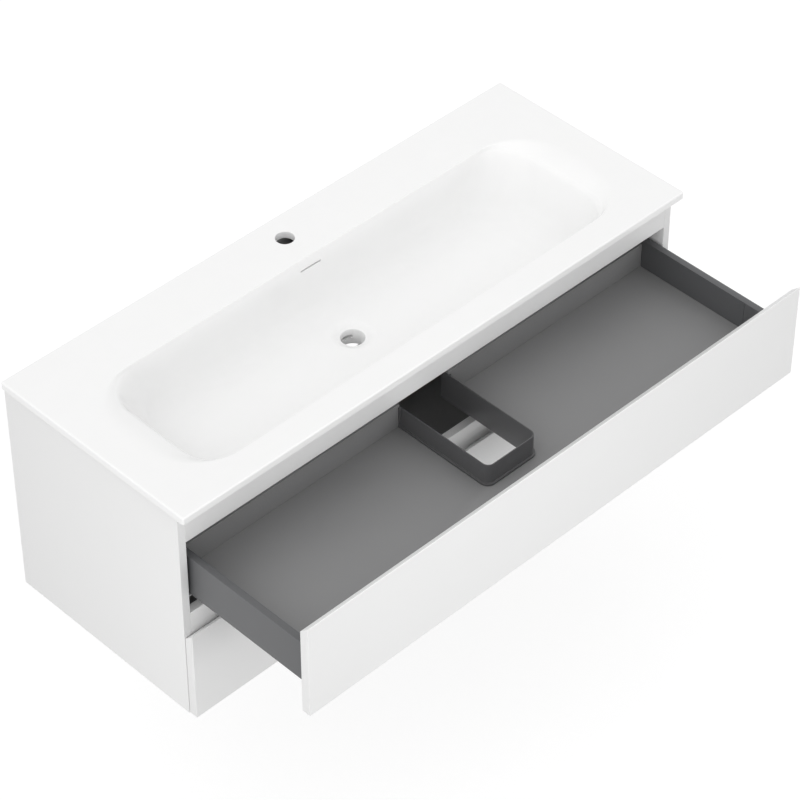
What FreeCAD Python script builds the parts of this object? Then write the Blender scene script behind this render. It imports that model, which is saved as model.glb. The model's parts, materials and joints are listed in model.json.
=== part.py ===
import FreeCAD, Part
import os
import re
import Sketcher
from FreeCAD import Placement, Rotation, Vector

# Wall-hung vanity unit: a ceramic washbasin on a cabinet with two drawers.
# Millimetres, +X to the right, +Y into the wall, +Z up. The origin lies on the wall, in the middle of
# the four wall screws. The upper drawer stands open and the lower one is shut.

SIZES = {
    # washbasin
    "basin_width": 1200,
    "slab_overhang": 22.8,
    "slab_thick": 15,
    "slab_edge_round": 2,
    "rim_above_screws": 75,
    "bowl_end_margin": 60,
    "bowl_back_rim": 119.5,
    "bowl_front_margin": 57,
    "bowl_depth": 120,
    "bowl_corner_share": 0.40,
    "lip_corner_share": 0.264,
    "lip_run": 54,
    "lip_start": 4,
    "lip_end": 18,
    "end_slope": 65,
    "end_sweep": 80,
    "bowl_floor_round": 40,
    "bowl_draft": 0.05,
    "bowl_wall": 8,
    "tap_diameter": 35,
    "tap_from_wall": 55,
    "waste_diameter": 46,
    "waste_from_wall": 226,
    "waste_seat": 2,
    "recess_diameter": 74,
    "recess_depth": 7,
    "boss_wall": 10,
    "boss_length": 32,
    "overflow_width": 48,
    "overflow_height": 3,
    "overflow_drop": 26,
    "duct_wall": 5,
    "duct_depth": 10,
    "outlet_width": 24,
    # carcass
    "carcass_inset": 6,
    "carcass_depth": 438.2,
    "carcass_height": 467,
    "board": 16,
    "rail_cover": 35.2,
    "rail_lap": 1.5,
    "rear_inset": 20,
    "rear_top_height": 280,
    "rear_bottom_height": 66,
    # wall plates and hooks
    "screw_margin": 60,
    "screw_rise": 32,
    "screw_hole": 8,
    "plate_sheet": 3,
    "plate_width": 60,
    "plate_height": 60,
    "lip_gap": 5,
    "lip_rise": 14,
    "hook_play": 1,
    "hook_depth": 10,
    "hook_tail": 14,
    # drawer fronts
    "drawer_open": 287,
    "front_thick": 18,
    "front_gap": 1,
    "front_side_inset": 1,
    "front_edge_round": 1,
    "front_drop": 48.3,
    "upper_front_extra": 2.9,
    "grip_gap": 32.2,
    "bottom_reveal": 2,
    "bevel_drop": 17,
    "bumper_diameter": 8,
    "bumper_play": 0.1,
    "bumper_margin": 12,
    # drawer boxes
    "floor_up": 66.5,
    "drawer_board": 16,
    "drawer_rear_room": 102.2,
    "back_drop": 9,
    "bowl_room": 3,
    "side_up": 40,
    "side_share": 0.4349,
    "side_gap": 5.6,
    "side_sheet": 1.2,
    "side_ledge": 18,
    "side_tail": 13,
    "fit_gap": 0.3,
    "cap_length": 75,
    "bracket_sheet": 2,
    "bracket_length": 60,
    "bracket_margin": 2,
    # siphon surround
    "surround_width": 120,
    "surround_setback": 106.8,
    "surround_drop": 6,
    "surround_wall": 2,
    "surround_corner": 14,
    "flange_width": 3.5,
    "flange_height": 5,
    # runners
    "runner_rear_room": 88.2,
    "runner_setback": 4,
    "runner_sheet": 1.2,
    "runner_play": 0.8,
    "runner_lift": 0.5,
    "runner_web": 2.6,
    "slide_top": 30.5,
    "slide_low": 5.5,
    "middle_low": 3.5,
    "rail_drop": 2.9,
    "rail_sheet": 1.6,
    "rail_plate": 21,
    # screws
    "screw_diameter": 4,
    "screw_play": 0.2,
    "screw_length": 13,
    "head_diameter": 7,
    "head_height": 2,
}

# Lengths that follow from the sizes above, as formulas of them and of each other.
DERIVED = {
    "basin_depth": "carcass_depth + slab_overhang",
    "slab_low": "rim_above_screws - slab_thick",
    "carcass_low": "slab_low - carcass_height",
    "carcass_half": "basin_width / 2 - carcass_inset",
    "inner_half": "carcass_half - board",
    "rear_rail_front": "-rear_inset - board",
    "rail_rear": "board - carcass_depth",
    "screw_spread": "basin_width - 2 * screw_margin",
    "lip_front": "-2 * plate_sheet - lip_gap",
    "lip_top": "plate_height / 2 + lip_rise",
    "front_half": "carcass_half - front_side_inset",
    "front_rear": "-carcass_depth - front_gap",
    "upper_front_top": "rim_above_screws - front_drop",
    "lower_front_low": "carcass_low + bottom_reveal",
    "both_fronts": "upper_front_top - lower_front_low - grip_gap",
    "upper_front_height": "(both_fronts + upper_front_extra) / 2",
    "upper_front_low": "upper_front_top - upper_front_height",
    "lower_front_top": "upper_front_low - grip_gap",
    "side_out": "inner_half - side_gap",
    "hollow_out": "side_out - side_sheet",
    "runner_step": "runner_sheet + runner_play",
    "hollow_in": "hollow_out - runner_web - 4 * runner_step",
    "side_in": "hollow_in - side_sheet",
    "hollow_middle": "(hollow_in + hollow_out) / 2",
    "side_height": "upper_front_height * side_share",
    "drawer_depth": "carcass_depth + front_gap - drawer_rear_room",
    "side_length": "drawer_depth + side_tail",
    "back_up": "side_up + side_height - back_drop",
    "upper_back_up": "min(back_up; bowl_under - bowl_room - upper_front_low)",
    "runner_length": "carcass_depth - runner_setback - runner_rear_room",
    "surround_half": "surround_width / 2",
    "boss_radius": "waste_diameter / 2 + boss_wall",
    "bowl_half": "basin_width / 2 - bowl_end_margin",
    "bowl_front_rim": "basin_depth - bowl_front_margin",
    "bowl_corner": "(bowl_front_rim - bowl_back_rim) * bowl_corner_share",
    "rim_over": "slab_thick / 5",
    "lip_corner": "(bowl_front_rim - bowl_back_rim) * lip_corner_share",
    "lip_low_turn": "lip_start * 1 deg",
    "lip_high_turn": "lip_end * 1 deg",
    "lip_round": "lip_run / (sin(lip_high_turn) - sin(lip_low_turn))",
    "lip_drop": "lip_round * (cos(lip_low_turn) - cos(lip_high_turn))",
    "slope_turn": "end_slope * 1 deg",
    "slope_drop": "bowl_depth - lip_drop - end_sweep * (1 - cos(slope_turn))",
    "slope_run": "slope_drop / tan(slope_turn)",
    "bowl_under": "rim_above_screws - bowl_depth - bowl_wall",
}

doc = FreeCAD.newDocument("vanity_unit")
sheet = doc.addObject("Spreadsheet::Sheet", "sizes")
for row, (alias, value) in enumerate(SIZES.items(), 1):
    sheet.set(f"A{row}", alias)
    sheet.set(f"B{row}", str(value))
    sheet.setAlias(f"B{row}", alias)
doc.recompute()
gauge = doc.addObject("App::FeaturePython", "gauge")
nodes = []


def formula(text):
    """Spell out a formula of named lengths in terms of the sheet's cells."""

    def spell(word):
        name = word.group()
        if name in DERIVED:
            return "(" + formula(DERIVED[name]) + ")"
        return "sizes." + name if name in SIZES else name

    return re.sub(r"[a-z][a-z_]*", spell, text)


def bind(thing, prop, text):
    thing.setExpression(prop, formula(text))


def measure(text):
    """The present value of a formula."""
    return float(gauge.evalExpression(formula(text)))


def node(thing, label):
    """Name a finished sub-part and keep it for writing."""
    thing.Label = label
    nodes.append(thing)
    return thing


def block(name, x, y, z):
    """A rectangular board between a low and a high formula on each axis."""
    solid = doc.addObject("Part::Box", name)
    for axis, side, (low, high) in zip("xyz", ("Length", "Width", "Height"), (x, y, z)):
        bind(solid, "Placement.Base." + axis, low)
        bind(solid, side, f"({high}) - ({low})")
    return solid


def board(name, x, y, z):
    """A rectangular board that is a sub-part as it is."""
    node(block(name, x, y, z), name)


TURNS = {
    "x": Rotation(Vector(0, 1, 0), 90),
    "y": Rotation(Vector(1, 0, 0), -90),
    "z": Rotation(),
}


def rod(name, along, start, radius, length):
    """A cylinder that starts at a point of three formulas and runs along an axis."""
    solid = doc.addObject("Part::Cylinder", name)
    solid.Placement = Placement(Vector(), TURNS[along])
    for axis, text in zip("xyz", start):
        bind(solid, "Placement.Base." + axis, text)
    bind(solid, "Radius", radius)
    bind(solid, "Height", length)
    return solid


def stud(name, along, start, diameter, length, sides):
    """A small many-sided bar, for screws and their holes, which repeat."""
    solid = doc.addObject("Part::Prism", name)
    solid.Polygon = sides
    solid.Placement = Placement(Vector(), TURNS[along])
    for axis, text in zip("xyz", start):
        bind(solid, "Placement.Base." + axis, text)
    bind(solid, "Circumradius", f"({diameter}) / 2")
    bind(solid, "Height", length)
    return solid


def fuse(name, solids):
    joined = doc.addObject("Part::MultiFuse", name)
    joined.Shapes = solids
    return joined


def group(name, solids):
    """Separate solids that are kept as one node."""
    held = doc.addObject("Part::Compound", name)
    held.Links = solids
    return held


def cut(name, solid, tools):
    left = doc.addObject("Part::Cut", name)
    left.Base = solid
    left.Tool = tools[0] if len(tools) == 1 else group(name + "_tools", tools)
    return left


def mirror(name, solid):
    """The same piece on the other side of the middle plane."""
    other = doc.addObject("Part::Mirroring", name)
    other.Source = solid
    other.Base = Vector(0, 0, 0)
    other.Normal = Vector(1, 0, 0)
    return other


def pair(name, solid):
    """A right-hand piece and its left-hand twin, as two nodes."""
    node(solid, name + "_right")
    return solid, node(mirror(name + "_left", solid), name + "_left")


def polygon(sketch, corners):
    """A closed outline through corners that are pairs of formulas."""
    points = [Vector(measure(u), measure(v), 0) for u, v in corners]
    for first, second in zip(points, points[1:] + points[:1]):
        sketch.addGeometry(Part.LineSegment(first, second))
    for line in range(len(corners)):
        following = (line + 1) % len(corners)
        sketch.addConstraint(Sketcher.Constraint("Coincident", line, 2, following, 1))
    for line, corner in enumerate(corners):
        place_point(sketch, line, 1, corner)


def place_point(sketch, line, end, corner):
    """Hold one end of a line at a pair of formulas."""
    for kind, text in zip(("DistanceX", "DistanceY"), corner):
        held = sketch.addConstraint(Sketcher.Constraint(kind, -1, 1, line, end, measure(text)))
        bind(sketch, f"Constraints[{held}]", text)


def prism(name, plane, corners, start, length):
    """An outline on a plane of its body, extruded along that plane's normal from a start formula.

    The normals are +Z for XY, -Y for XZ and +X for YZ.
    """
    body = doc.addObject("PartDesign::Body", name)
    sketch = body.newObject("Sketcher::SketchObject", name + "_outline")
    support = next(item for item in body.Origin.OriginFeatures if item.Role == plane + "_Plane")
    sketch.AttachmentSupport = [(support, "")]
    sketch.MapMode = "FlatFace"
    bind(sketch, "AttachmentOffset.Base.z", start)
    polygon(sketch, corners)
    pad = body.newObject("PartDesign::Pad", name + "_pad")
    pad.Profile = sketch
    bind(pad, "Length", length)
    return body


def round_face_edges(body, normal, radius):
    """Round every edge of the one face of a body that looks along a normal."""
    doc.recompute()
    pad = body.Tip
    for number, face in enumerate(pad.Shape.Faces, 1):
        if face.normalAt(0, 0).isEqual(normal, 1e-6):
            rounding = body.newObject("PartDesign::Fillet", body.Name + "_rounding")
            rounding.Base = (pad, [f"Face{number}"])
            bind(rounding, "Radius", radius)
    return body


def rounded_outline(name, half, back, front, corner, level):
    """A level outline with round corners, centred across the basin."""
    inner = f"({half}) - ({corner})"
    near = f"({front}) + ({corner})"
    far = f"({back}) - ({corner})"
    ends = [
        ((f"-({inner})", front), (inner, front)),
        ((half, near), (half, far)),
        ((inner, back), (f"-({inner})", back)),
        ((f"-({half})", far), (f"-({half})", near)),
    ]
    middles = [(inner, near), (inner, far), (f"-({inner})", far), (f"-({inner})", near)]
    sketch = doc.addObject("Sketcher::SketchObject", name)
    bind(sketch, "Placement.Base.z", level)
    spots = [[Vector(measure(u), measure(v), 0) for u, v in line] for line in ends]
    for line in spots:
        sketch.addGeometry(Part.LineSegment(*line))
    upright = Vector(0, 0, 1)
    for turn, (u, v) in enumerate(middles):
        centre = Vector(measure(u), measure(v), 0)
        circle = Part.Circle(centre, upright, measure(corner))
        first = circle.parameter(spots[turn][1])
        last = circle.parameter(spots[(turn + 1) % 4][0])
        sketch.addGeometry(Part.ArcOfCircle(circle, first, last))
    for line, (first, last) in enumerate(ends):
        place_point(sketch, line, 1, first)
        place_point(sketch, line, 2, last)
    for turn in range(4):
        arc = 4 + turn
        sketch.addConstraint(Sketcher.Constraint("Coincident", turn, 2, arc, 1))
        sketch.addConstraint(Sketcher.Constraint("Coincident", arc, 2, (turn + 1) % 4, 1))
        held = sketch.addConstraint(Sketcher.Constraint("Radius", arc, measure(corner)))
        bind(sketch, f"Constraints[{held}]", corner)
    return sketch


def extrude(name, outline, height):
    solid = doc.addObject("Part::Extrusion", name)
    solid.Base = outline
    solid.DirMode = "Custom"
    solid.Dir = Vector(0, 0, 1)
    solid.Solid = True
    bind(solid, "LengthFwd", height)
    return solid


def bowl_form(name, skin, fineness):
    """The moulded bowl, grown by a skin: level outlines lofted from the rim to the floor.

    Both ends dip from the slab in a shallow lip, fall from its edge in a steep slope and sweep into
    the floor. The long walls are nearly upright and turn into the floor with a smaller round. The
    corners tighten along the lip. Lip and sweep have the given number of steps.
    """
    parts = [step / fineness for step in range(fineness + 1)]
    steps = [("-rim_over", "-rim_over / tan(lip_low_turn)", "bowl_corner")]
    for part in parts:
        turn = f"(lip_low_turn + (lip_high_turn - lip_low_turn) * {part})"
        drop = f"lip_round * (cos(lip_low_turn) - cos{turn})"
        inset = f"lip_round * (sin{turn} - sin(lip_low_turn))"
        steps.append((drop, inset, f"bowl_corner + (lip_corner - bowl_corner) * {part}"))
    for part in reversed(parts):
        turn = f"(slope_turn * {part})"
        drop = f"bowl_depth - end_sweep * (1 - cos{turn})"
        inset = f"lip_run + slope_run + end_sweep * (sin(slope_turn) - sin{turn})"
        steps.append((drop, inset, "lip_corner"))
    outlines = []
    for drop, inset, corner in steps:
        into_round = f"max(0; 1 - (bowl_depth - ({drop})) / bowl_floor_round)"
        lean = f"bowl_draft * ({drop}) + bowl_floor_round * (1 - sqrt(1 - {into_round}^2))"
        outlines.append(
            rounded_outline(
                f"{name}_outline_{len(outlines)}",
                f"bowl_half - ({inset}) + {skin}",
                f"-bowl_back_rim - ({lean}) + {skin}",
                f"-bowl_front_rim + ({lean}) - {skin}",
                f"{corner} - ({lean}) + {skin}",
                f"rim_above_screws - ({drop}) - {skin}",
            )
        )
    solid = doc.addObject("Part::Loft", name)
    solid.Sections = outlines
    solid.Solid = True
    solid.Ruled = True
    return solid


def overflow_duct():
    """The casing behind the bowl that leads from the overflow slot to the waste, and its channel."""
    half = "overflow_width / 2"
    wall_rear = "-bowl_back_rim + bowl_wall"
    channel_rear = f"{wall_rear} + duct_depth"
    run_top = "bowl_under - 2 * duct_wall"
    run_low = f"{run_top} - duct_depth"
    shaft = block(
        "duct_shaft",
        (f"-{half} - duct_wall", f"{half} + duct_wall"),
        ("-bowl_back_rim + bowl_wall / 2", f"{channel_rear} + duct_wall"),
        (f"{run_low} - duct_wall", "slab_low"),
    )
    run = block(
        "duct_run",
        ("-outlet_width / 2 - duct_wall", "outlet_width / 2 + duct_wall"),
        ("-waste_from_wall", channel_rear),
        (f"{run_low} - duct_wall", "bowl_under + bowl_wall / 2"),
    )
    shaft_channel = block(
        "duct_shaft_channel",
        (f"-{half}", half),
        (wall_rear, channel_rear),
        (run_low, "rim_above_screws - overflow_drop + overflow_height"),
    )
    run_channel = block(
        "duct_run_channel",
        ("-outlet_width / 2", "outlet_width / 2"),
        ("-waste_from_wall", wall_rear),
        (run_low, run_top),
    )
    slot = block(
        "overflow_slot",
        (f"-{half}", half),
        ("-bowl_back_rim - bowl_wall", wall_rear),
        (
            "rim_above_screws - overflow_drop - overflow_height / 2",
            "rim_above_screws - overflow_drop + overflow_height / 2",
        ),
    )
    return [shaft, run], [shaft_channel, run_channel, slot]


def washbasin():
    half = "basin_width / 2"
    slab = prism(
        "slab",
        "XY",
        [(f"-{half}", "-basin_depth"), (half, "-basin_depth"), (half, "0"), (f"-{half}", "0")],
        "slab_low",
        "slab_thick",
    )
    round_face_edges(slab, Vector(0, 0, 1), "slab_edge_round")
    boss = rod(
        "waste_boss",
        "z",
        ("0", "-waste_from_wall", "bowl_under - boss_length"),
        "boss_radius",
        "boss_length + bowl_wall / 2",
    )
    casing, channels = overflow_duct()
    body = fuse("washbasin_body", [slab, bowl_form("bowl_outside", "bowl_wall", 4), boss] + casing)

    recess = doc.addObject("Part::Cone", "waste_recess")
    bind(recess, "Placement.Base.y", "-waste_from_wall")
    bind(recess, "Placement.Base.z", "rim_above_screws - bowl_depth - recess_depth")
    bind(recess, "Radius1", "waste_diameter / 2 + waste_seat")
    bind(recess, "Radius2", "recess_diameter / 2")
    bind(recess, "Height", "recess_depth")
    waste = rod(
        "waste_hole",
        "z",
        ("0", "-waste_from_wall", "bowl_under - boss_length"),
        "waste_diameter / 2",
        "boss_length + bowl_wall",
    )
    tap = rod("tap_hole", "z", ("0", "-tap_from_wall", "slab_low"), "tap_diameter / 2", "slab_thick")
    hollows = [bowl_form("bowl_inside", "0", 8), recess, waste, tap] + channels
    node(cut("washbasin", body, [fuse("washbasin_hollows", hollows)]), "washbasin")


def screw(name, along, start, way):
    """A hexagon-head screw whose head rests at the start and whose shank runs the given way."""
    axis = "xyz".index(along)
    head_start = list(start)
    shank_start = list(start)
    if way > 0:
        head_start[axis] = f"{start[axis]} - head_height"
    else:
        shank_start[axis] = f"{start[axis]} - screw_length"
    head = stud(name + "_head", along, head_start, "head_diameter", "head_height", 6)
    shank = stud(name + "_shank", along, shank_start, "screw_diameter", "screw_length", 8)
    return fuse(name, [head, shank])


def screw_hole(name, along, start, way):
    """The clearance hole for a screw, as deep as its shank and a little more."""
    axis = "xyz".index(along)
    low = list(start)
    if way < 0:
        low[axis] = f"{start[axis]} - screw_length - screw_play"
    return stud(name, along, low, "screw_diameter + 2 * screw_play", "screw_length + screw_play", 8)


def both_sides(x, *rest):
    """The same point right and left of the middle."""
    return [(x, *rest), (f"-({x})", *rest)]


def hanging():
    """Wall plates, the hooks on the cabinet that hang on their lips, and the hooks' screws."""
    start = "screw_spread / 2 - plate_width / 2"
    low = "-plate_height / 2"
    high = "plate_height / 2"
    lip_rear = "lip_front + plate_sheet"
    plate = prism(
        "wall_plate_blank",
        "YZ",
        [
            ("0", low),
            ("0", high),
            (lip_rear, high),
            (lip_rear, "lip_top"),
            ("lip_front", "lip_top"),
            ("lip_front", f"{high} - plate_sheet"),
            ("-plate_sheet", f"{high} - plate_sheet"),
            ("-plate_sheet", low),
        ],
        start,
        "plate_width",
    )
    centres = [("screw_spread / 2", "-plate_sheet", text) for text in ("-screw_rise / 2", "screw_rise / 2")]
    holes = [
        rod(f"wall_hole_{turn}", "y", centre, "screw_hole / 2", "plate_sheet")
        for turn, centre in enumerate(centres)
    ]
    pair("wall_plate", cut("wall_plate", plate, holes))

    tip_rear = "-plate_sheet - hook_play"
    tip_front = "lip_front + plate_sheet + hook_play"
    hook = prism(
        "hanger_hook_blank",
        "YZ",
        [
            ("-rear_inset", "-hook_tail"),
            ("-rear_inset", "lip_top + plate_sheet"),
            (tip_rear, "lip_top + plate_sheet"),
            (tip_rear, "lip_top - hook_depth"),
            (tip_front, "lip_top - hook_depth"),
            (tip_front, "lip_top"),
            ("-rear_inset + plate_sheet", "lip_top"),
            ("-rear_inset + plate_sheet", "-hook_tail"),
        ],
        start,
        "plate_width",
    )
    heights = ("0", "screw_rise / 2")
    spots = [("screw_spread / 2", "-rear_inset + plate_sheet", text) for text in heights]
    drilled = [screw_hole(f"hook_hole_{turn}", "y", spot, -1) for turn, spot in enumerate(spots)]
    pair("hanger_hook", cut("hanger_hook", hook, drilled))
    all_spots = [side for spot in spots for side in both_sides(*spot)]
    screws = [screw(f"hanger_screw_{turn}", "y", spot, -1) for turn, spot in enumerate(all_spots)]
    node(group("hanger_screws", screws), "hanger_screws")
    return [screw_hole(f"rail_hole_{turn}", "y", spot, -1) for turn, spot in enumerate(all_spots)]


def runner_screw_spots(low):
    """Where the screws of one runner rail enter the right side panel."""
    height = f"{low} + side_up - rail_drop - rail_sheet / 2 - rail_plate / 2"
    front = "-carcass_depth + runner_setback"
    return [
        ("inner_half - rail_sheet", f"{front} + runner_length * {share}", height) for share in (0.1, 0.85)
    ]


def carcass(drawers, rail_holes):
    """Side panels, bottom panel and the upright rails between the side panels."""
    panel = block(
        "side_panel_blank",
        ("inner_half", "carcass_half"),
        ("-carcass_depth", "0"),
        ("carcass_low", "slab_low"),
    )
    spots = [spot for low in drawers for spot in runner_screw_spots(low)]
    holes = [screw_hole(f"panel_hole_{turn}", "x", spot, 1) for turn, spot in enumerate(spots)]
    pair("side_panel", cut("side_panel", panel, holes))
    across = ("-inner_half", "inner_half")
    floor_top = "carcass_low + board"
    front = ("-carcass_depth", "rail_rear")
    rear = ("rear_rail_front", "-rear_inset")
    board("bottom_panel", across, ("-carcass_depth", "-rear_inset"), ("carcass_low", floor_top))
    board("front_top_rail", across, front, ("upper_front_top - rail_cover", "slab_low"))
    middle = ("lower_front_top - rail_cover", "upper_front_low + rail_lap")
    board("front_middle_rail", across, front, middle)
    top = block("rear_top_blank", across, rear, ("slab_low - rear_top_height", "slab_low"))
    node(cut("rear_top_rail", top, rail_holes), "rear_top_rail")
    board("rear_bottom_rail", across, rear, (floor_top, f"{floor_top} + rear_bottom_height"))


def runners(name, low, slide):
    """Three-part runners: a rail on the side panel, a middle member and a slide in the drawer side."""
    side_low = f"{low} + side_up"
    slide_top = f"{side_low} + slide_top"
    rear = "-carcass_depth + runner_setback + runner_length"
    web_top = f"{side_low} - rail_drop"
    web_low = f"{web_top} - rail_sheet"
    level = slide_top

    def channel(part, inset, top, bottom, shift):
        inner, outer = f"hollow_in + {inset}", f"hollow_out - {inset}"
        return prism(
            f"{name}_{part}",
            "XZ",
            [
                (outer, bottom),
                (outer, top),
                (inner, top),
                (inner, bottom),
                (f"{inner} + runner_sheet", bottom),
                (f"{inner} + runner_sheet", f"{top} - runner_sheet"),
                (f"{outer} - runner_sheet", f"{top} - runner_sheet"),
                (f"{outer} - runner_sheet", bottom),
            ],
            f"-({rear}) + {shift}",
            "runner_length",
        )

    slider = channel("runner_slide", "0", level, f"{side_low} + slide_low", slide)
    pair(f"{name}_runner_slide", slider)
    level = f"{level} - runner_sheet - runner_lift"
    middle = channel("runner_middle", "runner_step", level, f"{side_low} + middle_low", f"{slide} / 2")
    pair(f"{name}_runner_middle", middle)
    level = f"{level} - runner_sheet - runner_lift"
    web_in, web_out = "hollow_in + 2 * runner_step", "hollow_out - 2 * runner_step"
    plate_low = f"{web_top} - rail_plate"
    rail = prism(
        f"{name}_runner_rail_blank",
        "XZ",
        [
            ("inner_half", plate_low),
            ("inner_half", web_top),
            (web_out, web_top),
            (web_out, level),
            (web_in, level),
            (web_in, web_low),
            ("inner_half - rail_sheet", web_low),
            ("inner_half - rail_sheet", plate_low),
        ],
        f"-({rear})",
        "runner_length",
    )
    spots = runner_screw_spots(low)
    holes = [screw_hole(f"{name}_rail_hole_{turn}", "x", spot, 1) for turn, spot in enumerate(spots)]
    pair(f"{name}_runner_rail", cut(f"{name}_runner_rail", rail, holes))


def runner_screws(drawers):
    spots = [spot for low in drawers for spot in runner_screw_spots(low)]
    right = [screw(f"runner_screw_{turn}", "x", spot, 1) for turn, spot in enumerate(spots)]
    left = [mirror(f"runner_screw_left_{turn}", solid) for turn, solid in enumerate(right)]
    node(group("runner_screws", right + left), "runner_screws")


def drawer_front(name, low, top, slide):
    """A front board with a bevelled top edge as finger grip, its screws and its bumpers."""
    rear = f"front_rear - {slide}"
    face = f"{rear} - front_thick"
    panel = prism(
        f"{name}_front_panel",
        "YZ",
        [(face, low), (face, top), (rear, f"{top} - bevel_drop"), (rear, low)],
        "-front_half",
        "2 * front_half",
    )
    round_face_edges(panel, Vector(0, -1, 0), "front_edge_round")
    bracket_low, bracket_high = bracket_span(low)
    quarter = f"(({bracket_high}) - ({bracket_low})) / 4"
    heights = (f"{bracket_low} + {quarter}", f"{bracket_high} - {quarter}")
    spots = [("hollow_middle", f"{rear} + bracket_sheet", text) for text in heights]
    all_spots = [side for spot in spots for side in both_sides(*spot)]
    holes = [screw_hole(f"{name}_front_hole_{turn}", "y", spot, -1) for turn, spot in enumerate(all_spots)]
    node(cut(f"{name}_drawer_front", panel, holes), f"{name}_drawer_front")
    screws = [screw(f"{name}_front_screw_{turn}", "y", spot, -1) for turn, spot in enumerate(all_spots)]
    node(group(f"{name}_front_screws", screws), f"{name}_front_screws")

    seats = (f"{low} + bumper_margin", f"{top} - bevel_drop - bumper_margin")
    corners = [side for text in seats for side in both_sides("carcass_half - board / 2", rear, text)]
    bumpers = [
        stud(f"{name}_bumper_{turn}", "y", corner, "bumper_diameter", "front_gap - bumper_play", 12)
        for turn, corner in enumerate(corners)
    ]
    node(group(f"{name}_front_bumpers", bumpers), f"{name}_front_bumpers")
    front_brackets(name, low, rear, spots)


def bracket_span(low):
    """The lower and upper level of a front bracket inside a drawer side."""
    below = f"{low} + side_up + slide_top + bracket_margin"
    above = f"{low} + side_up + side_height - side_sheet - bracket_margin"
    return below, above


def front_brackets(name, low, rear, spots):
    """Sheet angles inside the drawer sides that carry the front."""
    below, above = bracket_span(low)
    end = f"{rear} + bracket_length"
    angle = prism(
        f"{name}_front_bracket_blank",
        "XY",
        [
            ("hollow_in", rear),
            ("hollow_out", rear),
            ("hollow_out", end),
            ("hollow_out - bracket_sheet", end),
            ("hollow_out - bracket_sheet", f"{rear} + bracket_sheet"),
            ("hollow_in", f"{rear} + bracket_sheet"),
        ],
        below,
        f"({above}) - ({below})",
    )
    holes = [screw_hole(f"{name}_bracket_hole_{turn}", "y", spot, -1) for turn, spot in enumerate(spots)]
    pair(f"{name}_front_bracket", cut(f"{name}_front_bracket", angle, holes))


def drawer_sides(name, low, slide):
    """Double-walled sheet sides with a ledge under the floor, and the caps at their front ends."""
    rear = f"front_rear - {slide}"
    floor_top = f"{low} + floor_up"
    side_low = f"{low} + side_up"
    side_top = f"{side_low} + side_height"
    ledge_top = f"{floor_top} - drawer_board"
    ledge_low = f"{ledge_top} - side_sheet"
    side = prism(
        f"{name}_side_blank",
        "XZ",
        [
            ("side_out", side_low),
            ("side_out", side_top),
            ("side_in", side_top),
            ("side_in", ledge_top),
            ("side_in - side_ledge", ledge_top),
            ("side_in - side_ledge", ledge_low),
            ("hollow_in", ledge_low),
            ("hollow_in", f"{side_top} - side_sheet"),
            ("hollow_out", f"{side_top} - side_sheet"),
            ("hollow_out", side_low),
        ],
        f"-({rear}) - side_length",
        "side_length",
    )
    wall = ("side_in", "hollow_in")
    window = block(
        f"{name}_side_window", wall, (rear, f"{rear} + cap_length"), (floor_top, f"{side_top} - side_sheet")
    )
    pair(f"{name}_drawer_side", cut(f"{name}_drawer_side", side, [window]))
    cap = block(
        f"{name}_side_cap",
        wall,
        (rear, f"{rear} + cap_length - fit_gap"),
        (floor_top, f"{side_top} - side_sheet - fit_gap"),
    )
    pair(f"{name}_side_cap", cap)


def floor_extent(slide):
    """The floor's width between the sides and its run from the front to the drawer's back."""
    rear = f"front_rear - {slide}"
    return ("-side_in + fit_gap", "side_in - fit_gap"), (rear, f"{rear} + drawer_depth")


def lower_box():
    """Floor and back of the lower drawer."""
    across, along = floor_extent("0")
    floor_top = "lower_front_low + floor_up"
    board("lower_drawer_floor", across, along, (f"{floor_top} - drawer_board", floor_top))
    behind = (f"{along[1]} - drawer_board", along[1])
    board("lower_drawer_back", across, behind, (floor_top, "lower_front_low + back_up"))


def upper_box():
    """Floor and back of the upper drawer, cut out round the siphon, and the collar in the cut-out."""
    across, along = floor_extent("drawer_open")
    floor_top = "upper_front_low + floor_up"
    floor_low = f"{floor_top} - drawer_board"
    back_top = "upper_front_low + upper_back_up"
    beyond = f"{along[1]} + 2 * surround_corner"
    collar_front = f"{along[0]} + surround_setback"

    def well(part, grow, level, height):
        """The collar's plan, grown by a margin and run out past the drawer's back."""
        plan = rounded_outline(
            f"{part}_plan",
            f"surround_half + {grow}",
            f"{beyond} + {grow}",
            f"{collar_front} - ({grow})",
            f"surround_corner + {grow}",
            level,
        )
        return extrude(part, plan, height)

    whole = block("upper_floor_blank", across, along, (floor_low, floor_top))
    cut_out = well("floor_cut_out", "fit_gap", floor_low, "drawer_board")
    node(cut("upper_drawer_floor", whole, [cut_out]), "upper_drawer_floor")
    behind = (f"{along[1]} - drawer_board", along[1])
    end = ("surround_half + fit_gap", across[1])
    pair("upper_drawer_back", block("upper_drawer_back", end, behind, (floor_top, back_top)))

    collar_top = f"{back_top} - surround_drop"
    tall = f"({collar_top}) - ({floor_low})"
    wall = well("collar_wall", "0", floor_low, tall)
    flange = well("collar_flange", "flange_width", floor_top, "flange_height")
    hollow = well("collar_hollow", "-surround_wall", floor_low, tall)
    trim = block(
        "collar_trim",
        ("-surround_half - flange_width", "surround_half + flange_width"),
        (f"{behind[0]} - flange_width", behind[0]),
        (floor_top, collar_top),
    )
    wide = ("-surround_half - 2 * flange_width", "surround_half + 2 * flange_width")
    passed = (f"{beyond} + 2 * flange_width", floor_low, back_top)
    flange_end = block("collar_flange_end", wide, (behind[0], passed[0]), passed[1:])
    wall_end = block("collar_wall_end", wide, (along[1], passed[0]), passed[1:])
    upright = cut("collar_upright", wall, [wall_end])
    foot = cut("collar_foot", flange, [flange_end])
    outer = fuse("collar_outer", [upright, foot, trim])
    node(cut("siphon_surround", outer, [hollow]), "siphon_surround")


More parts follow.
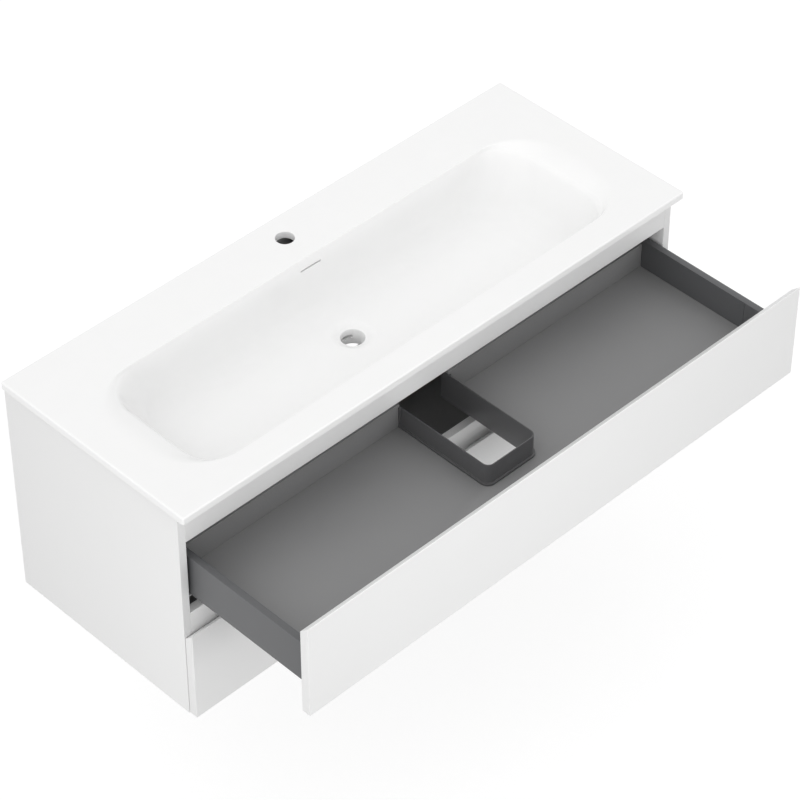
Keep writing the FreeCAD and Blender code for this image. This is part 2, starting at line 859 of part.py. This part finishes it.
def drawer(name, low, top, slide):
    drawer_front(name, low, top, slide)
    drawer_sides(name, low, slide)
    runners(name, low, slide)


drawer_lows = ("upper_front_low", "lower_front_low")
washbasin()
carcass(drawer_lows, hanging())
drawer("upper", "upper_front_low", "upper_front_top", "drawer_open")
upper_box()
drawer("lower", "lower_front_low", "lower_front_top", "0")
lower_box()
runner_screws(drawer_lows)

doc.recompute()
for thing in doc.Objects:
    if "Invalid" in thing.State or "Error" in thing.State:
        raise RuntimeError(f"{thing.Label} could not be built")
for thing in nodes:
    if thing.Shape.isNull() or not thing.Shape.isValid():
        raise RuntimeError(f"{thing.Label} has no valid shape")
os.makedirs("parts", exist_ok=True)
for thing in nodes:
    thing.Shape.exportStep(f"parts/{thing.Label}.step")
print(len(nodes), "sub-parts written")
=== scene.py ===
import json
import math

import bmesh
import bpy
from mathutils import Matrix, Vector

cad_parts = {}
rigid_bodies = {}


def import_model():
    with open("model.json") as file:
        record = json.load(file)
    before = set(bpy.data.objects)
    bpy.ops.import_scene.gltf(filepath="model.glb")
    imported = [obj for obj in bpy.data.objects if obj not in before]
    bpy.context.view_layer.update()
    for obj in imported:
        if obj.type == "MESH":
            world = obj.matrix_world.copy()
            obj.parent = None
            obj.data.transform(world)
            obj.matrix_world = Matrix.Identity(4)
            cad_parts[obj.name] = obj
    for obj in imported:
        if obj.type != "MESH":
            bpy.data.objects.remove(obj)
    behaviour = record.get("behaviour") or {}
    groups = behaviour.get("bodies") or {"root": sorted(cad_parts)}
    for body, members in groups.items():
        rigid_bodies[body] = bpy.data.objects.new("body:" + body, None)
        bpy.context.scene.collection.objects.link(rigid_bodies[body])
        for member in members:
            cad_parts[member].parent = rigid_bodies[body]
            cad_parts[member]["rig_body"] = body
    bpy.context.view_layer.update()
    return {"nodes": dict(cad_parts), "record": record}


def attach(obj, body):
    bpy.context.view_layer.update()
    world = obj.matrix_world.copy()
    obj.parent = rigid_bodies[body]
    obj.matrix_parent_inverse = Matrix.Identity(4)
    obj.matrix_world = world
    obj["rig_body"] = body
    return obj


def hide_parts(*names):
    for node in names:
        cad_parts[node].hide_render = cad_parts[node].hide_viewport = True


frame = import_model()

# Looks of a wall-hung vanity unit: glazed washbasin, lacquered cabinet, grey drawers. Metres.

nodes = frame["nodes"]
slot_of = {part["node"]: part["material_slot"] for part in frame["record"]["subparts"]}

# Slab of the washbasin
RIM = 0.075
SLAB_LOW = 0.060
SLAB_HALF = 0.600
SLAB_DEPTH = 0.461
SLAB_CORNER = 0.004
SLAB_ROUND = 0.0034
SLAB_EASE = 0.0006
SLAB_TOP_INSET = 0.0038
SLAB_UNDER_INSET = 0.0030

# Bowl: the corner radius goes from the rim's over the lip's to the one near the floor
BOWL_HALF = 0.540
BOWL_BACK = -0.1195
BOWL_FRONT = -0.404
BOWL_DEPTH = 0.120
BOWL_CORNER = 0.1138
LIP_CORNER = 0.0751
DEEP_CORNER = 0.108
DEEP_RUN = 0.070
LIP_RUN = 0.0474
LIP_DROP = 0.0080
LIP_ROUND = 0.018
END_SLOPE = math.radians(65)
END_SWEEP = 0.080
FLOOR_RISE = 0.062
FLOOR_RUN = 0.044
WALL_DRAFT = 0.05
RIM_ROUND = 0.0012
RIM_MARGIN = 0.008
RIM_END_MARGIN = 0.006
WALL = 0.008

# Waste, tap hole and overflow
WASTE_Y = -0.226
WASTE_RADIUS = 0.0224
BOSS_RADIUS = 0.033
BOSS_LOW = -0.085
BOSS_FOOT = 0.004
RECESS_RADIUS = 0.037
RECESS_DEPTH = 0.007
TAP_Y = -0.055
TAP_RADIUS = 0.0175
TAP_FLARE = 0.0012
OVERFLOW_DROP = 0.026
OVERFLOW_HALF = 0.024
OVERFLOW_HALF_HEIGHT = 0.0018
OUTLET_HALF = 0.016
OUTLET_LOW = -0.0725
OUTLET_HIGH = -0.0655
OUTLET_REAR = -0.165
DUCT_LOW = -0.078
DUCT_FLOOR = -0.073
DUCT_TOP = 0.055
SHAFT_HALF = 0.029
SHAFT_REAR = BOWL_BACK + 0.023
RUN_HALF = 0.017
RUN_INNER_HALF = 0.012
RUN_FRONT = -0.199
RUN_INNER_FRONT = -0.205
RUN_TOP = -0.049
RUN_CEILING = -0.063
CASING_ROUND = 0.003
HOLLOW_ROUND = 0.001

# Points round each level outline of the washbasin
LONG_STEPS = 48
CORNER_STEPS = 20
END_STEPS = 12
AROUND = 2 * (LONG_STEPS + END_STEPS) + 4 * CORNER_STEPS

# Widths of the eased edges
EASED = {
    "white_board": 0.0008,
    "drawer_steel": 0.0004,
    "drawer_board": 0.0005,
    "cap_plastic": 0.0004,
    "surround_plastic": 0.0006,
    "zinc_steel": 0.0003,
    "bumper_rubber": 0.0003,
}

# Surroundings
WHITE = (1.0, 1.0, 1.0, 1.0)
FLOOR_DROP = 0.85
FLOOR_REACH = 30.0
FLOOR_LIT_TONE = 0.48
FLOOR_SHOWN_TONE = 0.30
FLOOR_GLOW = 0.75
SKY_LEVEL = 0.39
SKY_SIDES = ((0.0, 0.0, 0.62), (-0.58, 0.0, 0.0), (0.0, -0.32, 0.0))

# Viewpoint of the photograph
LENS = 144.30
EYE = (-2.91779, -3.32469, 3.66842)
EYE_AZIMUTH = math.radians(-44.40)
EYE_ELEVATION = math.radians(42.28)


# Shader tools

def put(tree, kind, inputs=None, **settings):
    """Place a shader node with its settings and the values of its free sockets."""
    placed = tree.nodes.new(kind)
    for name, value in settings.items():
        setattr(placed, name, value)
    for socket, value in (inputs or {}).items():
        placed.inputs[socket].default_value = value
    return placed


def marks_group(name, noise_values, streaks=None):
    """Marks in a surface: a colour that varies a little, a mask and a height.

    They are grains of a size that the material gives or, with a scale along each axis, long streaks.
    """
    tree = bpy.data.node_groups.new(name, "ShaderNodeTree")
    sizes = [] if streaks else [("Grain Size", "Float")]
    taken = [("Colour", "Color"), *sizes, ("Contrast", "Float")]
    made = [("Colour", "Color"), ("Mask", "Float"), ("Height", "Float")]
    for way, sockets in (("INPUT", taken), ("OUTPUT", made)):
        for socket, kind in sockets:
            tree.interface.new_socket(socket, in_out=way, socket_type=f"NodeSocket{kind}")
    given = put(tree, "NodeGroupInput")
    result = put(tree, "NodeGroupOutput")
    place = put(tree, "ShaderNodeTexCoord")
    noise = put(tree, "ShaderNodeTexNoise", noise_values)
    swing = put(
        tree, "ShaderNodeMapRange", {"From Min": 0.25, "From Max": 0.75, "To Min": -1.0, "To Max": 1.0}
    )
    share = put(tree, "ShaderNodeMath", {2: 1.0}, operation="MULTIPLY_ADD")
    tint = put(tree, "ShaderNodeVectorMath", operation="SCALE")
    join = tree.links.new
    if streaks:
        stretch = put(tree, "ShaderNodeMapping", {"Scale": streaks})
        join(place.outputs["Object"], stretch.inputs["Vector"])
        join(stretch.outputs[0], noise.inputs["Vector"])
    else:
        scale = put(tree, "ShaderNodeMath", {0: 1.0}, operation="DIVIDE")
        join(given.outputs["Grain Size"], scale.inputs[1])
        join(place.outputs["Object"], noise.inputs["Vector"])
        join(scale.outputs[0], noise.inputs["Scale"])
    join(noise.outputs["Fac"], swing.inputs["Value"])
    join(swing.outputs[0], share.inputs[0])
    join(given.outputs["Contrast"], share.inputs[1])
    join(given.outputs["Colour"], tint.inputs[0])
    join(share.outputs[0], tint.inputs["Scale"])
    join(tint.outputs[0], result.inputs["Colour"])
    join(noise.outputs["Fac"], result.inputs["Mask"])
    join(noise.outputs["Fac"], result.inputs["Height"])
    return tree


fine_grain = marks_group("fine_grain", {"Detail": 4.0, "Roughness": 0.55})
rolled_streaks = marks_group("rolled_streaks", {"Scale": 1.0, "Detail": 3.0}, (900.0, 12.0, 900.0))
DRIFT_SIZE = 0.12


def finish(name, colour, rough, grain, contrast, relief, drift=0.01, **shader_values):
    """A material: a broad drift of its colour, fine marks on top, uneven gloss and a slight relief.

    Grain is the size of the fine marks in metres, or None for the streaks of rolled sheet; rough is
    the smoothest and dullest value, and relief the height of the marks in metres.
    """
    material = bpy.data.materials.new(name)
    material.use_nodes = True
    tree = material.node_tree
    shader = tree.nodes["Principled BSDF"]
    for socket, value in shader_values.items():
        shader.inputs[socket].default_value = value
    broad = put(tree, "ShaderNodeGroup", node_tree=fine_grain)
    broad.inputs["Colour"].default_value = (*colour, 1.0)
    broad.inputs["Grain Size"].default_value = DRIFT_SIZE
    broad.inputs["Contrast"].default_value = drift
    fine = put(tree, "ShaderNodeGroup", node_tree=fine_grain if grain else rolled_streaks)
    if grain:
        fine.inputs["Grain Size"].default_value = grain
    fine.inputs["Contrast"].default_value = contrast
    gloss = put(tree, "ShaderNodeMapRange", {"From Min": 0.3, "From Max": 0.7})
    gloss.inputs["To Min"].default_value, gloss.inputs["To Max"].default_value = rough
    bump = put(tree, "ShaderNodeBump", {"Strength": 1.0, "Distance": relief})
    join = tree.links.new
    join(broad.outputs["Colour"], fine.inputs["Colour"])
    join(fine.outputs["Colour"], shader.inputs["Base Color"])
    join(broad.outputs["Mask"], gloss.inputs["Value"])
    join(gloss.outputs[0], shader.inputs["Roughness"])
    join(fine.outputs["Height"], bump.inputs["Height"])
    join(bump.outputs["Normal"], shader.inputs["Normal"])
    return material


FINISHES = {
    "glazed_ceramic": finish(
        "glazed_ceramic",
        (0.925, 0.925, 0.923),
        rough=(0.16, 0.22),
        grain=0.030,
        contrast=0.004,
        relief=0.00002,
        drift=0.004,
        IOR=1.52,
    ),
    "white_board": finish(
        "white_lacquer",
        (0.855, 0.855, 0.853),
        rough=(0.36, 0.42),
        grain=0.0011,
        contrast=0.008,
        relief=0.000006,
        drift=0.006,
    ),
    "drawer_steel": finish(
        "drawer_steel",
        (0.106, 0.108, 0.112),
        rough=(0.40, 0.48),
        grain=0.0006,
        contrast=0.07,
        relief=0.000008,
        drift=0.02,
    ),
    "drawer_board": finish(
        "drawer_laminate",
        (0.252, 0.252, 0.254),
        rough=(0.55, 0.65),
        grain=0.0008,
        contrast=0.08,
        relief=0.00001,
        drift=0.02,
    ),
    "cap_plastic": finish(
        "cap_plastic",
        (0.113, 0.115, 0.119),
        rough=(0.48, 0.56),
        grain=0.0004,
        contrast=0.06,
        relief=0.00001,
        drift=0.02,
    ),
    "surround_plastic": finish(
        "surround_plastic",
        (0.095, 0.095, 0.098),
        rough=(0.28, 0.34),
        grain=0.0005,
        contrast=0.08,
        relief=0.00001,
        drift=0.02,
    ),
    "zinc_steel": finish(
        "zinc_steel",
        (0.60, 0.61, 0.62),
        rough=(0.30, 0.42),
        grain=None,
        contrast=0.08,
        relief=0.000005,
        drift=0.03,
        Metallic=0.9,
    ),
    "bumper_rubber": finish(
        "bumper_rubber",
        (0.60, 0.60, 0.59),
        rough=(0.50, 0.60),
        grain=0.0007,
        contrast=0.03,
        relief=0.000005,
    ),
}


# Mesh tools

def add_object(name, data):
    """Put a new object in the scene."""
    added = bpy.data.objects.new(name, data)
    bpy.context.scene.collection.objects.link(added)
    return added


def show(mesh, name, body, slot, *stood_for):
    """Put a finished mesh in the scene as a piece of a body that stands for CAD nodes."""
    piece = add_object(name, mesh)
    mesh.materials.clear()
    mesh.materials.append(FINISHES[slot])
    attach(piece, body)
    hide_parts(*stood_for)
    return piece


def to_mesh(work, name):
    """Turn a worked shape into a mesh."""
    mesh = bpy.data.meshes.new(name)
    work.to_mesh(mesh)
    work.free()
    return mesh


def ease(node, width):
    """A piece with the shape of a CAD node and its sharp edges rounded."""
    work = bmesh.new()
    work.from_mesh(nodes[node].data)
    bmesh.ops.remove_doubles(work, verts=work.verts, dist=1e-6)
    bmesh.ops.dissolve_limit(work, angle_limit=math.radians(0.5), verts=work.verts, edges=work.edges)
    for face in work.faces:
        face.smooth = True
    mesh = to_mesh(work, f"{node}_form")
    piece = show(mesh, f"{node}_piece", nodes[node]["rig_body"], slot_of[node], node)
    rounding = piece.modifiers.new("edge_rounding", "BEVEL")
    rounding.width = width
    rounding.segments = 3
    rounding.limit_method = "ANGLE"
    rounding.angle_limit = math.radians(32)
    rounding.harden_normals = True


def outline(half, back, front, corner, level):
    """Points round a level outline with round corners, the same number on every outline."""
    inner = half - corner
    near = front + corner
    far = back - corner
    runs = (
        ((-inner, front), (inner, front), LONG_STEPS, (inner, near), -90),
        ((half, near), (half, far), END_STEPS, (inner, far), 0),
        ((inner, back), (-inner, back), LONG_STEPS, (-inner, far), 90),
        ((-half, far), (-half, near), END_STEPS, (-inner, near), 180),
    )
    points = []
    for start, end, steps, centre, turn in runs:
        start, end, centre = Vector(start), Vector(end), Vector(centre)
        points += [start.lerp(end, step / steps) for step in range(steps)]
        for step in range(CORNER_STEPS):
            angle = math.radians(turn + 90 * step / CORNER_STEPS)
            points.append(centre + corner * Vector((math.cos(angle), math.sin(angle))))
    return [Vector((point.x, point.y, level)) for point in points]


def ring(radius, level):
    """A circle round the waste hole, with as many points as an outline."""
    first = -90 - 180 * LONG_STEPS / AROUND
    angles = [math.radians(first + 360 * step / AROUND) for step in range(AROUND)]
    return [Vector((radius * math.cos(a), WASTE_Y + radius * math.sin(a), level)) for a in angles]


def quarter_round(radius, top):
    """Inset and level of points on a round edge, from its upright side up to its level side."""
    angles = [math.radians(15 * step) for step in range(7)]
    return [(radius * (1 - math.cos(a)), top - radius + radius * math.sin(a)) for a in angles]


def join_rows(work, rows):
    """Faces between neighbouring rings of points with the same number of points."""
    for first, second in zip(rows, rows[1:]):
        count = len(first)
        for step in range(count):
            following = (step + 1) % count
            work.faces.new((first[step], first[following], second[following], second[step]))


def bowl_levels(steps):
    """The drop below the rim, the half length and the corner radius of each level of the bowl.

    The ends dip in a shallow lip, turn over its edge into a steep slope and sweep into the floor.
    """
    lip_turn = 2 * math.atan(LIP_DROP / LIP_RUN)
    lip_radius = LIP_RUN / math.sin(lip_turn)
    spots = [(0.0, 0.0)]
    for radius, start, end in (
        (lip_radius, 0.0, lip_turn),
        (LIP_ROUND, lip_turn, END_SLOPE),
        (-END_SWEEP, END_SLOPE, 0.0),
    ):
        drop, inset = spots[-1]
        if end < start:
            slope_end = BOWL_DEPTH - END_SWEEP * (1 - math.cos(END_SLOPE))
            fall = slope_end - drop
            for part in (0.33, 0.67, 1.0):
                spots.append((drop + fall * part, inset + fall * part / math.tan(END_SLOPE)))
            drop, inset = spots[-1]
        for step in range(1, steps + 1):
            angle = start + (end - start) * step / steps
            down = radius * (math.cos(start) - math.cos(angle))
            spots.append((drop + down, inset + radius * (math.sin(angle) - math.sin(start))))
    levels = []
    for drop, inset in spots:
        rim_share = max(0.0, 1 - inset / LIP_RUN)
        deep_share = min(1.0, max(0.0, drop - LIP_DROP) / DEEP_RUN)
        corner = LIP_CORNER + (BOWL_CORNER - LIP_CORNER) * rim_share
        corner += (DEEP_CORNER - LIP_CORNER) * deep_share
        levels.append((drop, BOWL_HALF - inset, corner))
    return levels


def wall_lean(drop):
    """How far a long wall has come in at a depth: a slight draft, then the round into the floor."""
    into_round = max(0.0, 1 - (BOWL_DEPTH - drop) / FLOOR_RISE)
    return WALL_DRAFT * drop + FLOOR_RUN * (1 - math.sqrt(1 - into_round**2))


def bowl_outline(drop, half, corner, skin, rim_round):
    """The bowl's outline at a depth, grown by the wall's thickness, with the rim rounded over."""
    lean = wall_lean(drop)
    if drop < rim_round:
        lean -= rim_round - math.sqrt(rim_round**2 - (rim_round - drop) ** 2)
    back = BOWL_BACK - lean + skin
    front = BOWL_FRONT + lean - skin
    return outline(half + skin, back, front, corner - lean + skin, RIM - drop - skin)


def slab_outline(inset, level):
    """The slab's outline, drawn in by an inset."""
    return outline(SLAB_HALF - inset, -inset, -SLAB_DEPTH + inset, SLAB_CORNER - inset, level)


def slab_loops():
    """The slab from its underside, round its edge and over its flat top."""
    loops = [slab_outline(SLAB_UNDER_INSET, SLAB_LOW), slab_outline(SLAB_EASE, SLAB_LOW)]
    loops.append(slab_outline(0.0, SLAB_LOW + SLAB_EASE))
    loops += [slab_outline(inset, level) for inset, level in quarter_round(SLAB_ROUND, RIM)]
    loops.append(slab_outline(SLAB_TOP_INSET, RIM))
    return loops


def waste_loops():
    """From the bowl's floor into the dished seat, through the waste hole and up round its boss."""
    floor_level = RIM - BOWL_DEPTH
    seat = floor_level - RECESS_DEPTH
    under = floor_level - WALL
    rings = (
        (RECESS_RADIUS + 0.014, floor_level),
        (RECESS_RADIUS + 0.004, floor_level),
        (RECESS_RADIUS, floor_level - 0.0006),
        (RECESS_RADIUS - 0.004, floor_level - 0.0024),
        (WASTE_RADIUS + 0.004, seat + 0.0012),
        (WASTE_RADIUS + 0.002, seat),
        (WASTE_RADIUS + 0.0003, seat - 0.0002),
        (WASTE_RADIUS, seat - 0.0007),
        (WASTE_RADIUS, BOSS_LOW),
        (BOSS_RADIUS, BOSS_LOW),
        (BOSS_RADIUS, under - BOSS_FOOT),
        (BOSS_RADIUS + BOSS_FOOT, under),
    )
    return [ring(radius, level) for radius, level in rings]


def washbasin_mesh():
    """One closed skin: under the slab, over its top, down the bowl, through the waste and back outside."""
    loops = slab_loops()
    back = BOWL_BACK + RIM_MARGIN
    front = BOWL_FRONT - RIM_MARGIN
    loops.append(outline(BOWL_HALF + RIM_END_MARGIN, back, front, BOWL_CORNER + RIM_MARGIN, RIM))
    loops += [bowl_outline(*level, 0.0, RIM_ROUND) for level in bowl_levels(14)]
    loops += waste_loops()
    outside = [level for level in bowl_levels(8) if RIM - level[0] - WALL < SLAB_LOW - 0.001]
    loops += [bowl_outline(*level, WALL, 0.0) for level in reversed(outside)]
    loops.append([Vector((point.x, point.y, SLAB_LOW)) for point in loops[-1]])

    work = bmesh.new()
    rows = [[work.verts.new(point) for point in loop] for loop in loops]
    join_rows(work, rows + rows[:1])
    bmesh.ops.recalc_face_normals(work, faces=work.faces)
    return to_mesh(work, "washbasin_form")


def turned_form(name, profile, centre, steps=72):
    """A closed body turned from radius and level pairs round an upright axis."""
    work = bmesh.new()
    angles = [2 * math.pi * step / steps for step in range(steps)]
    rows = []
    for radius, level in profile:
        spots = [(centre[0] + radius * math.cos(a), centre[1] + radius * math.sin(a), level) for a in angles]
        rows.append([work.verts.new(spot) for spot in spots])
    join_rows(work, rows)
    work.faces.new(rows[0])
    work.faces.new(rows[-1])
    bmesh.ops.recalc_face_normals(work, faces=work.faces)
    return to_mesh(work, name)


def soft_block(name, half, ends, levels, radius):
    """A block with rounded edges, the same width to both sides, between two ends and two levels."""
    work = bmesh.new()
    bmesh.ops.create_cube(work, size=1.0)
    low, high = Vector((-half, ends[0], levels[0])), Vector((half, ends[1], levels[1]))
    for vert in work.verts:
        vert.co = Vector(high[axis] if vert.co[axis] > 0 else low[axis] for axis in range(3))
    bmesh.ops.bevel(work, geom=list(work.edges), offset=radius, segments=4, profile=0.5, affect="EDGES")
    return to_mesh(work, name)


def carve(piece, cutters):
    """Take the cutters' shapes out of a piece for good."""
    helpers = []
    for mesh in cutters:
        helper = add_object(mesh.name, mesh)
        carving = piece.modifiers.new(mesh.name, "BOOLEAN")
        carving.object = helper
        carving.solver = "EXACT"
        helpers.append(helper)
    shaped = bpy.data.meshes.new_from_object(piece.evaluated_get(bpy.context.evaluated_depsgraph_get()))
    piece.modifiers.clear()
    piece.data = shaped
    for helper in helpers:
        bpy.data.objects.remove(helper)


def soft_shading(piece, angle):
    """Smooth shading, with the edges sharper than an angle kept crisp."""
    for face in piece.data.polygons:
        face.use_smooth = True
    piece.data.set_sharp_from_angle(angle=math.radians(angle))


# Pieces

def washbasin():
    """The glazed basin with its tap hole, overflow slot and waste outlet, and the overflow's duct."""
    basin = show(washbasin_mesh(), "washbasin_piece", "cabinet", "glazed_ceramic", "washbasin")
    profile = [(TAP_RADIUS, SLAB_LOW - 0.005)]
    profile += [(TAP_RADIUS + flare, level) for flare, level in quarter_round(TAP_FLARE, RIM)]
    profile.append((TAP_RADIUS + TAP_FLARE, RIM + 0.005))
    tap_hole = turned_form("tap_hole_cutter", profile, (0.0, TAP_Y))
    slot_level = RIM - OVERFLOW_DROP
    slot = soft_block(
        "overflow_cutter",
        OVERFLOW_HALF,
        (BOWL_BACK - 0.010, BOWL_BACK + 0.016),
        (slot_level - OVERFLOW_HALF_HEIGHT, slot_level + OVERFLOW_HALF_HEIGHT),
        0.0012,
    )
    outlet = soft_block(
        "outlet_cutter", OUTLET_HALF, (WASTE_Y, OUTLET_REAR), (OUTLET_LOW, OUTLET_HIGH), CASING_ROUND
    )
    carve(basin, [tap_hole, slot, outlet])
    soft_shading(basin, 38)

    shaft = soft_block(
        "overflow_shaft", SHAFT_HALF, (BOWL_BACK + 0.004, SHAFT_REAR), (DUCT_LOW, SLAB_LOW), CASING_ROUND
    )
    run = soft_block(
        "overflow_run", RUN_HALF, (RUN_FRONT, SHAFT_REAR - 0.004), (DUCT_LOW, RUN_TOP), CASING_ROUND
    )
    down = soft_block(
        "duct_cutter",
        OVERFLOW_HALF,
        (BOWL_BACK + 0.009, SHAFT_REAR - 0.005),
        (DUCT_FLOOR, DUCT_TOP),
        HOLLOW_ROUND,
    )
    along = soft_block(
        "run_cutter",
        RUN_INNER_HALF,
        (RUN_INNER_FRONT, SHAFT_REAR - 0.010),
        (DUCT_FLOOR, RUN_CEILING),
        HOLLOW_ROUND,
    )
    for mesh in (shaft, run):
        casing = show(mesh, f"{mesh.name}_piece", "cabinet", "glazed_ceramic", "washbasin")
        carve(casing, [slot, down, along, outlet])
        soft_shading(casing, 50)


def cabinet_and_drawers():
    """Boards, fronts, drawer sheets, plastic pieces and fittings, with their edges eased."""
    for node in nodes:
        if node != "washbasin":
            ease(node, EASED[slot_of[node]])


# Studio

def shown_directly(tree):
    """A mask that is 1 where the camera, a reflection or a clear piece shows the surroundings."""
    path = put(tree, "ShaderNodeLightPath")
    mask = path.outputs["Is Camera Ray"]
    for kind in ("Is Glossy Ray", "Is Transmission Ray"):
        either = put(tree, "ShaderNodeMath", operation="MAXIMUM")
        tree.links.new(mask, either.inputs[0])
        tree.links.new(path.outputs[kind], either.inputs[1])
        mask = either.outputs[0]
    return mask


def floor():
    """A pale floor below the unit: it looks white, keeps a soft shadow and is clear from underneath."""
    mesh = bpy.data.meshes.new("studio_floor")
    level = RIM - FLOOR_DROP
    signs = ((-1, -1), (1, -1), (1, 1), (-1, 1))
    corners = [(across * FLOOR_REACH, along * FLOOR_REACH, level) for across, along in signs]
    mesh.from_pydata(corners, [], [(0, 1, 2, 3)])
    ground = add_object("studio_floor", mesh)
    material = bpy.data.materials.new("studio_floor")
    material.use_nodes = True
    tree = material.node_tree
    tree.nodes.remove(tree.nodes["Principled BSDF"])
    out = tree.nodes["Material Output"]
    pale = put(tree, "ShaderNodeBsdfDiffuse", {"Color": (*[FLOOR_LIT_TONE] * 3, 1.0)})
    lit = put(tree, "ShaderNodeBsdfDiffuse", {"Color": (*[FLOOR_SHOWN_TONE] * 3, 1.0)})
    glow = put(tree, "ShaderNodeEmission", {"Color": WHITE, "Strength": FLOOR_GLOW})
    white = put(tree, "ShaderNodeAddShader")
    top = put(tree, "ShaderNodeMixShader")
    side = put(tree, "ShaderNodeNewGeometry")
    clear = put(tree, "ShaderNodeBsdfTransparent")
    sheet = put(tree, "ShaderNodeMixShader")
    join = tree.links.new
    join(lit.outputs[0], white.inputs[0])
    join(glow.outputs[0], white.inputs[1])
    join(shown_directly(tree), top.inputs["Fac"])
    join(pale.outputs[0], top.inputs[1])
    join(white.outputs[0], top.inputs[2])
    join(side.outputs["Backfacing"], sheet.inputs["Fac"])
    join(top.outputs[0], sheet.inputs[1])
    join(clear.outputs[0], sheet.inputs[2])
    join(sheet.outputs[0], out.inputs["Surface"])
    mesh.materials.append(material)


def sky(level, sides):
    """Soft light from all round, with more of it from some sides, before a white background."""
    world = bpy.data.worlds.new("studio")
    bpy.context.scene.world = world
    world.use_nodes = True
    tree = world.node_tree
    light = tree.nodes["Background"]
    out = tree.nodes["World Output"]
    way = put(tree, "ShaderNodeTexCoord")
    glow = put(tree, "ShaderNodeValue")
    glow.outputs[0].default_value = level
    white = put(tree, "ShaderNodeBackground", {"Color": WHITE, "Strength": 1.0})
    mix = put(tree, "ShaderNodeMixShader")
    light.inputs["Color"].default_value = WHITE
    join = tree.links.new
    for side in sides:
        facing = put(tree, "ShaderNodeVectorMath", {1: side}, operation="DOT_PRODUCT")
        share = put(tree, "ShaderNodeMath", {1: 0.0}, operation="MAXIMUM")
        total = put(tree, "ShaderNodeMath", operation="ADD")
        join(way.outputs["Generated"], facing.inputs[0])
        join(facing.outputs["Value"], share.inputs[0])
        join(share.outputs[0], total.inputs[0])
        join(glow.outputs[0], total.inputs[1])
        glow = total
    join(glow.outputs[0], light.inputs["Strength"])
    join(shown_directly(tree), mix.inputs["Fac"])
    join(light.outputs[0], mix.inputs[1])
    join(white.outputs[0], mix.inputs[2])
    join(mix.outputs[0], out.inputs["Surface"])


def soft_lamp(name, place, aim, width, height, power):
    """A large soft lamp that shines on a spot."""
    data = bpy.data.lights.new(name, "AREA")
    data.shape = "RECTANGLE"
    data.size = width
    data.size_y = height
    data.energy = power
    lamp = add_object(name, data)
    lamp.location = place
    lamp.rotation_mode = "QUATERNION"
    lamp.rotation_quaternion = (Vector(aim) - Vector(place)).to_track_quat("-Z", "Y")


def camera():
    """The photograph's own viewpoint."""
    data = bpy.data.cameras.new("camera")
    data.sensor_width = 36.0
    data.lens = LENS
    data.clip_end = 100.0
    eye = add_object("camera", data)
    level_share = math.cos(EYE_ELEVATION)
    across = math.sin(EYE_AZIMUTH) * level_share
    along = -math.cos(EYE_AZIMUTH) * level_share
    back = Vector((across, along, math.sin(EYE_ELEVATION)))
    eye.location = EYE
    eye.rotation_mode = "QUATERNION"
    eye.rotation_quaternion = (-back).to_track_quat("-Z", "Y")
    bpy.context.scene.camera = eye


camera()
washbasin()
cabinet_and_drawers()
floor()
sky(SKY_LEVEL, SKY_SIDES)
soft_lamp("front_lamp", (-0.2, -1.8, 0.1), (0.0, -0.7, 0.05), width=1.2, height=0.3, power=3.0)
soft_lamp("left_lamp", (-1.7, -0.75, 0.0), (-0.6, -0.40, -0.05), width=0.8, height=0.3, power=1.75)
bpy.context.scene.view_settings.view_transform = "Standard"
